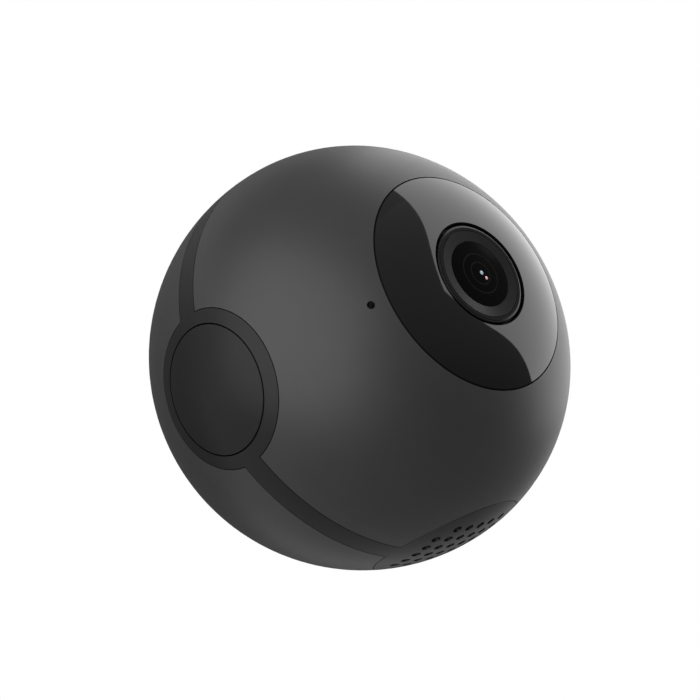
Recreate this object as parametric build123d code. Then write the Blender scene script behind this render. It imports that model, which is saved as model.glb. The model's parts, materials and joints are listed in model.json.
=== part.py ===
from build123d import *
import math
import os

# A ball-shaped mini camera, in millimetres. While the pieces are made, the middle of the
# ball is at the origin: the lens looks along -Y, the push button is on -X and the speaker
# on -Z. At the end everything moves along Y, so that the mouth of the tripod thread at the
# back of the ball becomes the origin.

# Ball and shells
BALL_R = 32.0
FRONT_R = 27.4  # the ball is a little flatter round the lens
BLEND_ANGLE = 82.5  # degrees from the lens axis, where the flatter front begins
WALL = 2.0
SEAM = 0.12  # open line between the belt and each shell
BOSS_SINK = 0.3  # how far bosses and ribs reach into the wall that carries them

# Belt, its inner band and its two round pads
BELT_WIDTH = 3.46
BAND_REACH = 2.5  # how far the band runs on under each shell
BAND_WALL = 1.65
LIP_GAP = 0.15  # between the band and the inside of the shells
PAD_R = 11.6
FLANGE_REACH = 4.2  # how far the flange round a pad runs on under the shells

# Window and its seat in the front shell
WINDOW_R = 17.1
WINDOW_T = 1.4
WINDOW_GAP = 0.1
WINDOW_HOLE_R = 8.14
WINDOW_EDGE = 0.12
TAPE_T = 0.15
TAPE_INSET = 0.8
SEAT_WALL = 1.3
SEAT_RIM = 2.1  # the thick wall under the window runs this far past its edge

# Lens
BARREL_R = 7.62
BARREL_INSET = 0.09  # the barrel's face below the edge of the window's hole
BARREL_EDGE = 0.35
HEAD_LENGTH = 6.15
BARREL_THREAD_R = 6.0
BARREL_LENGTH = 18.05
RETAINER_R = 6.9
RETAINER_HOLE_R = 5.2
RETAINER_DEPTH = 1.3
RETAINER_SLOPE = 0.25
FRONT_GLASS_R = 5.7
FRONT_RIM_T = 1.45
FRONT_BULGE = 0.45
FRONT_HOLLOW = 1.4
INNER_GLASS_R = 4.6
BAFFLE_T = 2.85
BAFFLE_HOLE_R = 3.07
MIDDLE_RIM_T = 2.0
MIDDLE_BULGE = 0.55
STOP_T = 1.5
STOP_HOLE_R = 1.7
THROAT_T = 1.0
REAR_GLASS_R = 3.85
REAR_RIM_T = 3.0
REAR_BULGE = 0.5
GLASS_LAND = 0.6  # flat ring at the edge of each inner glass
FILTER_R = 4.35
FILTER_T = 0.4
SEAL_T = 0.5
FIT = 0.05  # radial play of pieces that are pushed or turned into a bore

# Sensor board and lens holder
HOLDER_R = 7.3
HOLDER_LENGTH = 10.0
HOLDER_BASE = 17.0
HOLDER_CORNER = 1.5
HOLDER_FLOOR = 0.8  # between the barrel's tube and the sensor's pocket
HOLDER_EAR = 10.0  # lens axis to each holder screw
EAR_R = 2.3
EAR_T = 3.0
BOARD_T = 1.0
SENSOR_BOARD_W = 25.0
SENSOR_BOARD_H = 29.0
SENSOR_BOARD_CORNER = 3.0
SENSOR_SIZE = 9.0
SENSOR_ROOM = 1.0  # round the sensor in its pocket
SENSOR_T = 0.9
SENSOR_GLASS_SIZE = 8.2
SENSOR_GLASS_T = 0.4
SENSOR_GAP = 1.3  # the barrel's rear end to the sensor's cover glass
POST_OFFSET = 12.0
POST_R = 2.0

# Screws
SCREW_R = 0.8
SCREW_HEAD_R = 1.6
SCREW_HEAD_T = 1.0
LONG_SCREW_R = 1.0
LONG_HEAD_R = 1.8
LONG_HEAD_T = 1.2
SCREW_GAP = 0.15  # round a screw in a plain hole
GRIP_GAP = 0.02  # round a screw in the hole that it holds in
SCREW_GRIP = 4.0  # how far a screw reaches into its boss

# Main board and what holds it
CORNER = 16.5  # x and z of the four long screws
TAB_T = 2.0
TAB_R = 3.2
CORNER_BOSS_R = 2.6
LEG_R = 2.8
MAIN_BOARD_GAP = 1.7  # board edge to the band
NOTCH_DEPTH_X = 18.6
NOTCH_DEPTH_Z = 14.2
BUTTON_NOTCH = 12.6
SPEAKER_NOTCH = 7.5
SPEAKER_FLAT = 20.2
CAN_SIZE = 18.0
CAN_HEIGHT = 2.2
CAN_WALL = 0.2
CAN_CORNER = 0.8
CHIP_SIZE = 12.0
CHIP_T = 1.2
THERMAL_INSET = 1.0
SPREADER_W = 24.0
SPREADER_H = 20.0
SPREADER_T = 0.8
SPREADER_CORNER = 2.0
MEMORY_W = 10.0
MEMORY_H = 12.0
MEMORY_T = 1.0
WIFI_W = 14.0
WIFI_H = 9.0
WIFI_CORNER = 0.5
WIFI_GAP = 3.0  # between the shield can and the radio module
RIBBON_T = 0.2
RIBBON_W = 6.0
RIBBON_LAP = 3.0  # how far the ribbon lies on the sensor board
RIBBON_BEND = 2.5
PLUG_T = 2.0
PLUG_EDGE = 1.0  # the ribbon's plug runs this far past the ribbon
RIBBON_PLUG_W = 3.0
BATTERY_PLUG_X = 17.5
BATTERY_PLUG_W = 4.0
BATTERY_PLUG_H = 6.0
SPEAKER_PLUG_X = 11.0
SPEAKER_PLUG_DROP = 17.0
SPEAKER_PLUG_W = 3.6
SPEAKER_PLUG_H = 3.0
BUTTON_PLUG_X = 15.0
BUTTON_PLUG_W = 2.0
BUTTON_PLUG_H = 6.0

# Rear bracket, battery and tripod bush
PLATE_T = 1.5
LEG_LENGTH = 10.0
PLATE_GAP = 0.4  # plate edge to the flanges under the shells
BATTERY_W = 26.8
BATTERY_H = 30.0
BATTERY_T = 7.0
BATTERY_CORNER = 1.5
BATTERY_EDGE = 0.6
BATTERY_UP = 6.0
PAD_T = 0.8
PAD_W = 20.8
PAD_H = 22.0
HUB_R = 6.5
RIB_T = 1.6
RIB_REACH = 20.0
SEAT_R = 8.0  # flat ring at the back of the ball, round the tripod bush
SEAT_PAD_R = 9.3
SEAT_PAD_T = 2.48
BUSH_FLANGE_R = 6.0
BUSH_FLANGE_T = 1.0
BUSH_R = 4.0
BUSH_LENGTH = 9.5
THREAD_R = 2.6  # hole of a quarter inch tripod thread, 20 turns to the inch
THREAD_DEPTH = 7.0
KEY_HOLE_R = 0.6
KEY_HOLE_OFFSET = 4.3

# Charging board
USB_DROP = 15.0  # middle of the charging socket below the lens axis
USB_W = 8.94
USB_H = 3.26
USB_LENGTH = 7.3
USB_FACE = 26.2  # mouth of the socket behind the ball's centre
USB_SHELL_T = 0.3
TONGUE_W = 6.7
TONGUE_T = 0.7
USB_GAP = 0.15
USB_BOARD_W = 20.5
USB_BOARD_SHIFT = 2.25
USB_BOARD_Y = 14.0
USB_BOARD_DEEP = 6.0
USB_NOSE_W = 10.4
USB_NOSE_DEEP = 8.8
SHELF_DEEP = 4.0
SHELF_T = 2.4
USB_SCREW_X = 6.2
USB_SCREW_IN = 2.3  # the charging board's screws behind the bracket's plate
USB_SCREW_R = 0.7
USB_HEAD_R = 1.3
RESET_X = 9.5
RESET_HOLE_R = 0.6
RESET_BODY = 3.4
RESET_BODY_T = 1.8
RESET_STEM_W = 1.4
RESET_STEM_H = 0.9
RESET_STEM_OUT = 0.9
RESET_STEM_ROOT = 0.2
RESET_INSET = 1.0  # the reset switch's face in from the board's edge
RESET_TRAVEL = 0.25

# Speaker behind the grille
HOLE_PITCH = 2.43
HOLE_R = 0.7
HOLE_ROWS = 7
DISH_R = 9.8
SPEAKER_LAND = 6.2  # depth of the flat seat below the ball's surface
MESH_T = 0.25
GASKET_T = 0.6
SPEAKER_R = 10.7
SPEAKER_RIM_T = 1.0
SPEAKER_DEPTH = 4.6
MAGNET_R = 6.5
MAGNET_T = 3.4
POLE_LENGTH = 2.0
CONE_T = 0.3
CONE_DEPTH = 0.2  # the cone's edge below the speaker's face
SURROUND_W = 1.2
DOME_R = 3.0
DOME_DEPTH = 1.5
DOME_RISE = 0.9
CLAMP_T = 1.2
BOSS_R = 1.9
BOSS_OUT = 2.0  # small bosses stand this far outside a pad
SPEAKER_BOSS_DEPTH = 12.0

# Push button
CAP_R = 9.42
CAP_GAP = 0.2
CAP_EDGE = 0.15
CAP_WALL = 1.6
CAP_SKIRT = 1.5
CAP_FLANGE_R = 10.6
CAP_FLANGE_T = 0.9
STOP_DEPTH = 4.4  # the stop under the button ring, below the ball's surface
STOP_GAP = 0.06
BUTTON_TRAVEL = 0.4
NIB_R = 1.5
PLUNGER_R = 1.7
PLUNGER_OUT = 0.75
SWITCH_SIZE = 6.0
SWITCH_T = 3.5
BUTTON_BOARD_R = 9.6
BRACKET_T = 1.2
BRACKET_EDGE = 0.9  # the bracket runs this far past the switch board
RETURN_T = 1.3

# Microphone
MIC_OFFSET = 19.42  # from the lens axis, towards the button
MIC_HOLE_R = 0.58
MIC_BOSS_R = 4.4
MIC_POCKET_R = 3.6
MIC_FLOOR = 3.0
BOOT_T = 1.6
MIC_W = 3.76
MIC_H = 2.95
MIC_T = 1.1
MIC_BOARD_T = 0.8

# Places that several pieces share
ARC_R = (BALL_R - FRONT_R) * math.sin(math.radians(BLEND_ANGLE))
ARC_Y = -(BALL_R - FRONT_R) * math.cos(math.radians(BLEND_ANGLE))
FAR = 2 * BALL_R  # longer than anything it cuts
BELT_HALF = BELT_WIDTH / 2
LIP = WALL + LIP_GAP
BAND_IN = LIP + BAND_WALL
FLANGE_R = PAD_R + FLANGE_REACH
BOSS_SIDE = (PAD_R + BOSS_OUT) / math.sqrt(2)
BOSS_PLACES = [(BOSS_SIDE, BOSS_SIDE), (-BOSS_SIDE, -BOSS_SIDE)]
WINDOW_SEAT = WINDOW_T + TAPE_T
CORNERS = [(x, z) for x in (-CORNER, CORNER) for z in (-CORNER, CORNER)]


def front_height(radius, depth=0.0):
    """Y of the flatter front at a radius from the lens axis, moved inwards by depth."""
    return ARC_Y - math.sqrt((FRONT_R - depth) ** 2 - (radius - ARC_R) ** 2)


LENS_Y = front_height(WINDOW_HOLE_R) + BARREL_INSET
SHOULDER = RETAINER_DEPTH + FRONT_RIM_T
MIDDLE_TOP = SHOULDER + BAFFLE_T
STOP_TOP = MIDDLE_TOP + MIDDLE_RIM_T
THROAT_TOP = STOP_TOP + STOP_T
REAR_TOP = THROAT_TOP + THROAT_T
BARREL_END = LENS_Y + BARREL_LENGTH
SENSOR_Y = BARREL_END + SENSOR_GAP + SENSOR_GLASS_T + SENSOR_T  # front of the sensor board
SENSOR_BACK = SENSOR_Y + BOARD_T
BOARD_Y = TAB_T / 2  # front of the main board
BOARD_BACK = BOARD_Y + BOARD_T
BOARD_R = BALL_R - BAND_IN - MAIN_BOARD_GAP
PLATE_Y = BOARD_BACK + LEG_LENGTH
PLATE_BACK = PLATE_Y + PLATE_T
PLATE_R = math.sqrt((BALL_R - BAND_IN) ** 2 - PLATE_BACK**2) - PLATE_GAP
SEAT_Y = math.sqrt(BALL_R**2 - SEAT_R**2)
SEAT_PAD_Y = SEAT_Y - SEAT_PAD_T
USB_BOARD_TOP = -USB_DROP - USB_H / 2
USB_BOARD_LOW = USB_BOARD_TOP - BOARD_T
USB_SCREW_Y = PLATE_BACK + USB_SCREW_IN
RESET_FACE = USB_BOARD_Y + USB_BOARD_DEEP - RESET_INSET
RESET_Z = USB_BOARD_TOP + RESET_BODY_T / 2
LAND_Z = -(BALL_R - SPEAKER_LAND)
SPEAKER_Z = LAND_Z + GASKET_T
MAGNET_Z = SPEAKER_Z + SPEAKER_DEPTH
CLAMP_Z = MAGNET_Z + MAGNET_T
SPEAKER_BOSS_Z = -(BALL_R - SPEAKER_BOSS_DEPTH)
STOP_X = -(BALL_R - STOP_DEPTH)
CAP_BACK = STOP_X + STOP_GAP + CAP_FLANGE_T
SWITCH_X = CAP_BACK + PLUNGER_OUT
BUTTON_BOARD_X = SWITCH_X + SWITCH_T
BRACKET_X = BUTTON_BOARD_X + BOARD_T
MIC_DEPTH = MIC_FLOOR + BOOT_T + MIC_T + MIC_BOARD_T
MIC_PLACE = Plane(
    origin=(-MIC_OFFSET, front_height(MIC_OFFSET), 0),
    x_dir=(0, 0, 1),
    z_dir=(-(MIC_OFFSET - ARC_R), front_height(MIC_OFFSET) - ARC_Y, 0),
)


def block(x0, x1, y0, y1, z0, z1):
    """Box between two opposite corners."""
    return Pos((x0 + x1) / 2, (y0 + y1) / 2, (z0 + z1) / 2) * Box(x1 - x0, y1 - y0, z1 - z0)


def rod_x(radius, x0, x1, y=0, z=0):
    """Round rod along X."""
    return Pos((x0 + x1) / 2, y, z) * Rot(0, 90, 0) * Cylinder(radius, x1 - x0)


def rod_y(radius, y0, y1, x=0, z=0):
    """Round rod along Y."""
    return Pos(x, (y0 + y1) / 2, z) * Rot(90, 0, 0) * Cylinder(radius, y1 - y0)


def rod_z(radius, z0, z1, x=0, y=0):
    """Round rod along Z."""
    return Pos(x, y, (z0 + z1) / 2) * Cylinder(radius, z1 - z0)


def slab(sketch, y0, y1, x=0, z=0):
    """Sketch drawn in X and Z, made solid from y0 to y1."""
    return Pos(x, y1, z) * extrude(Plane.XZ * sketch, y1 - y0)


def strip(r0, r1, y0, y1):
    """Rectangle of a half section between two radii and two places along Y."""
    return Pos((r0 + r1) / 2, (y0 + y1) / 2) * Rectangle(r1 - r0, y1 - y0)


def outline(depth):
    """Half section of the ball with its skin moved inwards by depth."""
    top = ARC_Y - (FRONT_R - depth)
    skin = Line((0, top), (ARC_R, top))
    skin += CenterArc((ARC_R, ARC_Y), FRONT_R - depth, -90, BLEND_ANGLE)
    skin += CenterArc((0, 0), BALL_R - depth, BLEND_ANGLE - 90, 180 - BLEND_ANGLE)
    skin += Line((0, BALL_R - depth), (0, top))
    return make_face(skin)


def turn(section):
    """Half section turned round the lens axis."""
    return revolve(section, Axis.Y, 360)


def ball(depth):
    """The whole ball with its skin moved inwards by depth."""
    return turn(outline(depth))


def lens_piece(*edges):
    """Turned piece of the lens, from edges in radius and depth below the barrel's face."""
    return Pos(0, LENS_Y, 0) * turn(make_face(list(edges)))


def lens_ring(*points):
    """Turned ring of the lens, from corners in radius and depth below the barrel's face."""
    return Pos(0, LENS_Y, 0) * turn(make_face(Polyline(*points, close=True)))


def screw(shank_r, head_r, head_t, length):
    """Cap screw with a hexagon socket; the head sits on Z 0 and points up."""
    body = rod_z(shank_r, -length, 0.1) + rod_z(head_r, 0, head_t)
    socket = extrude(RegularPolygon(head_r / 2, 6), head_t * 0.6)
    return body - Pos(0, 0, head_t * 0.4) * socket


def small_screw(through):
    """Small cap screw that goes through plates of this thickness into its boss."""
    return screw(SCREW_R, SCREW_HEAD_R, SCREW_HEAD_T, through + SCREW_GRIP)


def front_shell():
    """Front half of the ball, with the window's seat, corner bosses, posts and mic boss."""
    edge = -(BELT_HALF + SEAM)
    rim = WINDOW_R + WINDOW_GAP
    section = outline(0) - outline(WALL)
    seat = outline(WINDOW_SEAT) - outline(WINDOW_SEAT + SEAT_WALL)
    section += seat & strip(0, rim + SEAT_RIM, -FAR, 0)
    section -= strip(0, rim, -FAR, 0) - outline(WINDOW_SEAT)
    section -= strip(0, WINDOW_HOLE_R, -FAR, 0)
    section &= strip(0, FAR, -FAR, edge)
    shell = turn(section)
    shell -= rod_x(PAD_R + SEAM, -FAR, 0)
    shell -= rod_z(PAD_R + SEAM, -FAR, 0)
    posts = [rod_y(CORNER_BOSS_R, -BALL_R, -TAB_T / 2, x, z) for x, z in CORNERS]
    for z in (-POST_OFFSET, POST_OFFSET):
        posts.append(rod_y(POST_R, -BALL_R, SENSOR_Y, 0, z))
    posts.append(MIC_PLACE * rod_z(MIC_BOSS_R, -MIC_DEPTH, 0))
    inside = ball(WALL - BOSS_SINK)
    for post in posts:
        shell += post & inside
    for x, z in CORNERS:
        end = BOARD_Y - TAB_T - SCREW_GRIP - TAB_T
        shell -= rod_y(LONG_SCREW_R + GRIP_GAP, end, 0, x, z)
    for z in (-POST_OFFSET, POST_OFFSET):
        shell -= rod_y(SCREW_R + GRIP_GAP, SENSOR_Y - SCREW_GRIP - BOARD_T, 0, 0, z)
    shell -= MIC_PLACE * rod_z(MIC_POCKET_R, -2 * MIC_DEPTH, -MIC_FLOOR)
    shell -= MIC_PLACE * rod_z(MIC_HOLE_R, -MIC_DEPTH, MIC_HOLE_R)
    return shell


def rear_shell():
    """Rear half of the ball, with the flat seat round the tripod bush and two openings."""
    section = outline(0) - (outline(WALL) - strip(0, SEAT_PAD_R, SEAT_PAD_Y, FAR))
    section &= strip(0, FAR, BELT_HALF + SEAM, SEAT_Y)
    section -= strip(0, BUSH_R + SCREW_GAP, 0, FAR)
    section -= strip(0, BUSH_FLANGE_R + FIT, SEAT_Y - BUSH_FLANGE_T, FAR)
    shell = turn(section)
    shell -= rod_x(PAD_R + SEAM, -FAR, 0)
    shell -= rod_z(PAD_R + SEAM, -FAR, 0)
    slot = SlotOverall(USB_W + 2 * USB_GAP, USB_H + 2 * USB_GAP)
    shell -= slab(slot, BALL_R / 2, FAR, 0, -USB_DROP)
    shell -= rod_y(RESET_HOLE_R, BALL_R / 2, FAR, RESET_X, RESET_Z)
    return shell


def mid_frame():
    """Belt, button ring, grille and the band under the shells, with tabs and small bosses."""
    reach = BELT_HALF + BAND_REACH
    pads = rod_x(PAD_R, -FAR, -(BALL_R - SPEAKER_LAND)) + rod_z(PAD_R, -FAR, LAND_Z)
    belt = rod_y(FAR, -BELT_HALF, BELT_HALF) + pads
    band = rod_y(FAR, -reach, reach) + rod_x(FLANGE_R, -FAR, 0) + rod_z(FLANGE_R, -FAR, 0)
    frame = ball(0) & belt
    frame += ball(LIP) & band
    frame -= ball(BAND_IN) - pads
    inside = ball(LIP + BOSS_SINK)
    for u, v in BOSS_PLACES:
        frame += rod_x(BOSS_R, -BALL_R, BRACKET_X, u, v) & inside
        frame += rod_z(BOSS_R, -BALL_R, SPEAKER_BOSS_Z, u, v) & inside
    for x, z in CORNERS:
        angle = -math.degrees(math.atan2(z, x))
        arm = block(CORNER * math.sqrt(2), BALL_R, -TAB_T / 2, TAB_T / 2, -TAB_R, TAB_R)
        tab = Rot(0, angle, 0) * arm + rod_y(TAB_R, -TAB_T / 2, TAB_T / 2, x, z)
        frame += tab & inside
        frame -= rod_y(LONG_SCREW_R + SCREW_GAP, -TAB_T, TAB_T, x, z)
    frame -= rod_x(CAP_R + CAP_GAP, -FAR, 0)
    frame -= rod_x(CAP_FLANGE_R + CAP_GAP, STOP_X, 0)
    frame -= rod_z(DISH_R, -FAR, 0) & ball(WALL)
    for u, v in BOSS_PLACES:
        frame -= rod_x(SCREW_R + GRIP_GAP, BRACKET_X - SCREW_GRIP, 0, u, v)
        frame -= rod_z(SCREW_R + GRIP_GAP, SPEAKER_BOSS_Z - SCREW_GRIP, 0, u, v)
    return frame - grille_holes()


def grille_holes():
    """Square grid of round holes without its four corners."""
    middle = (HOLE_ROWS - 1) / 2
    holes = []
    for i in range(HOLE_ROWS):
        for j in range(HOLE_ROWS):
            if i in (0, HOLE_ROWS - 1) and j in (0, HOLE_ROWS - 1):
                continue
            x = (i - middle) * HOLE_PITCH
            y = (j - middle) * HOLE_PITCH
            holes.append(rod_z(HOLE_R, -FAR, LAND_Z, x, y))
    return Part() + holes


def window():
    """Glossy cover round the lens, flush with the front shell."""
    section = outline(0) - outline(WINDOW_T)
    section &= strip(WINDOW_HOLE_R, WINDOW_R, -FAR, 0)
    corners = section.vertices().sort_by(Axis.X)
    outer = [pair.sort_by(Axis.Y)[0] for pair in (corners[:2], corners[-2:])]
    return turn(chamfer(outer, WINDOW_EDGE))


def window_tape():
    """Ring of adhesive between the window and its seat."""
    section = outline(WINDOW_T) - outline(WINDOW_SEAT)
    inner = WINDOW_HOLE_R + TAPE_INSET
    return turn(section & strip(inner, WINDOW_R - TAPE_INSET, -FAR, 0))


def lens_seal():
    """Rubber ring between the barrel and the hole in the front shell."""
    y = front_height(WINDOW_HOLE_R, WINDOW_SEAT + GRIP_GAP)
    return turn(strip(BARREL_R + GRIP_GAP, WINDOW_HOLE_R - GRIP_GAP, y, y + SEAL_T))


def lens_barrel():
    """Black metal barrel: a wide head, a threaded body and stepped bores for the glass."""
    ends = BARREL_LENGTH - 2 * FILTER_T
    section = strip(0, BARREL_R, 0, HEAD_LENGTH) + strip(0, BARREL_THREAD_R, 0, BARREL_LENGTH)
    section -= strip(0, RETAINER_R, -1, RETAINER_DEPTH)
    section -= strip(0, FRONT_GLASS_R + FIT, -1, SHOULDER)
    section -= strip(0, INNER_GLASS_R + FIT, -1, THROAT_TOP)
    section -= strip(0, REAR_GLASS_R - GLASS_LAND + FIT, -1, ends)
    section -= strip(0, REAR_GLASS_R + FIT, REAR_TOP, BARREL_LENGTH)
    section -= strip(0, FILTER_R + FIT, ends, BARREL_LENGTH)
    rim = section.vertices().sort_by(Axis.X)[-2:].sort_by(Axis.Y)[0]
    section = fillet(rim, BARREL_EDGE)
    return Pos(0, LENS_Y, 0) * turn(section)


def lens_retainer():
    """Threaded ring with a shallow funnel that holds the front glass."""
    outer = RETAINER_R - GRIP_GAP
    hole = RETAINER_HOLE_R
    low = RETAINER_DEPTH
    return lens_ring((hole, low), (outer, low), (outer, 0.1), (hole, 0.1 + RETAINER_SLOPE))


def front_element():
    """Front glass, bulging at the front and hollow behind, held by a step at its rim."""
    top = -BARREL_INSET / 2
    step = RETAINER_HOLE_R - FIT
    hollow = INNER_GLASS_R - GLASS_LAND / 2
    return lens_piece(
        TangentArc((0, top), (step, top + FRONT_BULGE), tangent=(1, 0)),
        Line((step, top + FRONT_BULGE), (step, RETAINER_DEPTH)),
        Line((step, RETAINER_DEPTH), (FRONT_GLASS_R, RETAINER_DEPTH)),
        Line((FRONT_GLASS_R, RETAINER_DEPTH), (FRONT_GLASS_R, SHOULDER)),
        Line((FRONT_GLASS_R, SHOULDER), (hollow, SHOULDER)),
        TangentArc((0, SHOULDER - FRONT_HOLLOW), (hollow, SHOULDER), tangent=(1, 0)),
        Line((0, SHOULDER - FRONT_HOLLOW), (0, top)),
    )


def baffle_ring():
    """Stepped spacer between the front and the middle glass, narrow at its waist."""
    outer = INNER_GLASS_R
    mouth = outer - GLASS_LAND / 2
    waist = SHOULDER + BAFFLE_T * 0.6
    back = outer - GLASS_LAND
    return lens_ring(
        (mouth, SHOULDER),
        (outer, SHOULDER),
        (outer, MIDDLE_TOP),
        (back, MIDDLE_TOP),
        (BAFFLE_HOLE_R, waist),
    )


def middle_element():
    """Glass that bulges on both sides, with a flat ring at its rim."""
    flat = INNER_GLASS_R - GLASS_LAND
    top = MIDDLE_TOP - MIDDLE_BULGE
    low = STOP_TOP + MIDDLE_BULGE
    return lens_piece(
        TangentArc((0, top), (flat, MIDDLE_TOP), tangent=(1, 0)),
        Line((flat, MIDDLE_TOP), (INNER_GLASS_R, MIDDLE_TOP)),
        Line((INNER_GLASS_R, MIDDLE_TOP), (INNER_GLASS_R, STOP_TOP)),
        Line((INNER_GLASS_R, STOP_TOP), (flat, STOP_TOP)),
        TangentArc((0, low), (flat, STOP_TOP), tangent=(1, 0)),
        Line((0, low), (0, top)),
    )


def stop_ring():
    """Aperture: a cone down to a small hole."""
    mouth = INNER_GLASS_R - GLASS_LAND
    edge = STOP_TOP + STOP_T * 0.7
    return lens_ring(
        (mouth, STOP_TOP),
        (INNER_GLASS_R, STOP_TOP),
        (INNER_GLASS_R, THROAT_TOP),
        (STOP_HOLE_R, THROAT_TOP),
        (STOP_HOLE_R, edge),
    )


def rear_element():
    """Glass near the sensor, bulging on both sides."""
    flat = REAR_GLASS_R - GLASS_LAND
    end = REAR_TOP + REAR_RIM_T
    top = REAR_TOP - REAR_BULGE
    low = end + REAR_BULGE
    return lens_piece(
        TangentArc((0, top), (flat, REAR_TOP), tangent=(1, 0)),
        Line((flat, REAR_TOP), (REAR_GLASS_R, REAR_TOP)),
        Line((REAR_GLASS_R, REAR_TOP), (REAR_GLASS_R, end)),
        Line((REAR_GLASS_R, end), (flat, end)),
        TangentArc((0, low), (flat, end), tangent=(1, 0)),
        Line((0, low), (0, top)),
    )


def ir_filter():
    """Thin disc against the step at the barrel's rear end."""
    start = BARREL_LENGTH - 2 * FILTER_T
    return lens_piece(*strip(0, FILTER_R, start, start + FILTER_T).edges())


def lens_holder():
    """Square base with a threaded tube for the barrel, and two ears for its screws."""
    base_y = SENSOR_Y - EAR_T
    base = slab(RectangleRounded(HOLDER_BASE, HOLDER_BASE, HOLDER_CORNER), base_y, SENSOR_Y)
    holder = base + rod_y(HOLDER_R, SENSOR_Y - HOLDER_LENGTH, SENSOR_Y)
    for x in (-HOLDER_EAR, HOLDER_EAR):
        holder += rod_y(EAR_R, base_y, SENSOR_Y, x)
    room = SENSOR_SIZE + 2 * SENSOR_ROOM
    holder -= rod_y(BARREL_THREAD_R + FIT, -FAR, base_y + HOLDER_FLOOR)
    holder -= slab(Rectangle(room, room), base_y + HOLDER_FLOOR, SENSOR_Y)
    for x in (-HOLDER_EAR, HOLDER_EAR):
        holder -= rod_y(SCREW_R + GRIP_GAP, base_y, SENSOR_Y, x)
    return holder


def sensor_board():
    """Small upright board behind the lens."""
    sketch = RectangleRounded(SENSOR_BOARD_W, SENSOR_BOARD_H, SENSOR_BOARD_CORNER)
    board = slab(sketch, SENSOR_Y, SENSOR_BACK)
    for x in (-HOLDER_EAR, HOLDER_EAR):
        board -= rod_y(SCREW_R + SCREW_GAP, -FAR, 0, x)
    for z in (-POST_OFFSET, POST_OFFSET):
        board -= rod_y(SCREW_R + SCREW_GAP, -FAR, 0, 0, z)
    return board


def image_sensor():
    """Sensor chip on its board."""
    return slab(Rectangle(SENSOR_SIZE, SENSOR_SIZE), SENSOR_Y - SENSOR_T, SENSOR_Y)


def sensor_glass():
    """Cover glass on the sensor."""
    face = SENSOR_Y - SENSOR_T
    return slab(Rectangle(SENSOR_GLASS_SIZE, SENSOR_GLASS_SIZE), face - SENSOR_GLASS_T, face)


def sensor_screws():
    """Two screws through the sensor board into the front shell's posts."""
    one = Rot(-90, 0, 0) * small_screw(BOARD_T)
    return [Pos(0, SENSOR_BACK, z) * one for z in (-POST_OFFSET, POST_OFFSET)]


def holder_screws():
    """Two short screws through the sensor board into the lens holder's ears."""
    short = screw(SCREW_R, SCREW_HEAD_R, SCREW_HEAD_T, BOARD_T + EAR_T - FIT)
    one = Rot(-90, 0, 0) * short
    return [Pos(x, SENSOR_BACK, 0) * one for x in (-HOLDER_EAR, HOLDER_EAR)]


def sensor_ribbon():
    """Flat flexible cable from the back of the sensor board to a plug on the main board."""
    start = (SENSOR_BOARD_W / 2 - RIBBON_LAP, SENSOR_BACK + RIBBON_T / 2)
    corner = (CORNER, SENSOR_BACK + RIBBON_T / 2)
    end = (CORNER, BOARD_Y - CHIP_T - RIBBON_T / 2)
    path = FilletPolyline(start, corner, end, radius=RIBBON_BEND)
    face = offset(path, RIBBON_T / 2, side=Side.BOTH, closed=True)
    z = (SPREADER_H - RIBBON_W) / 2
    return Pos(0, 0, z - RIBBON_W / 2) * extrude(make_face(face.edges()), RIBBON_W)


def main_board():
    """Round main board with notches for the button and the speaker."""
    sketch = Circle(BOARD_R)
    sketch &= Pos(0, FAR / 2 - SPEAKER_FLAT) * Rectangle(FAR, FAR)
    sketch -= Pos(-NOTCH_DEPTH_X - FAR / 2, 0) * Rectangle(FAR, 2 * BUTTON_NOTCH)
    sketch -= Pos(0, -NOTCH_DEPTH_Z - FAR / 2) * Rectangle(2 * SPEAKER_NOTCH, FAR)
    board = slab(sketch, BOARD_Y, BOARD_BACK)
    for x, z in CORNERS:
        board -= rod_y(LONG_SCREW_R + SCREW_GAP, 0, FAR, x, z)
    return board


def processor():
    """Main chip under the shield can."""
    return slab(Rectangle(CHIP_SIZE, CHIP_SIZE), BOARD_Y - CHIP_T, BOARD_Y)


def shield_can():
    """Pressed metal can over the main chip."""
    sketch = RectangleRounded(CAN_SIZE, CAN_SIZE, CAN_CORNER)
    can = slab(sketch, BOARD_Y - CAN_HEIGHT, BOARD_Y)
    inner = CAN_SIZE - 2 * CAN_WALL
    return can - slab(Rectangle(inner, inner), BOARD_Y - CAN_HEIGHT + CAN_WALL, BOARD_Y)


def thermal_pad():
    """Soft pad that fills the space between the main chip and its can."""
    size = CHIP_SIZE - 2 * THERMAL_INSET
    top = BOARD_Y - CAN_HEIGHT + CAN_WALL
    return slab(Rectangle(size, size), top, BOARD_Y - CHIP_T)


def heat_spreader():
    """Aluminium plate glued on the shield can."""
    top = BOARD_Y - CAN_HEIGHT
    sketch = RectangleRounded(SPREADER_W, SPREADER_H, SPREADER_CORNER)
    return slab(sketch, top - SPREADER_T, top)


def memory_chip():
    """Memory on the rear face of the main board."""
    chip = Rectangle(MEMORY_W, MEMORY_H)
    return slab(chip, BOARD_BACK, BOARD_BACK + MEMORY_T, 0, BATTERY_UP)


def wifi_module():
    """Radio module above the shield can."""
    height = CAN_HEIGHT - CAN_WALL * 2
    z = CAN_SIZE / 2 + WIFI_GAP + WIFI_H / 2
    sketch = RectangleRounded(WIFI_W, WIFI_H, WIFI_CORNER)
    return slab(sketch, BOARD_Y - height, BOARD_Y, 0, z)


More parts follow.
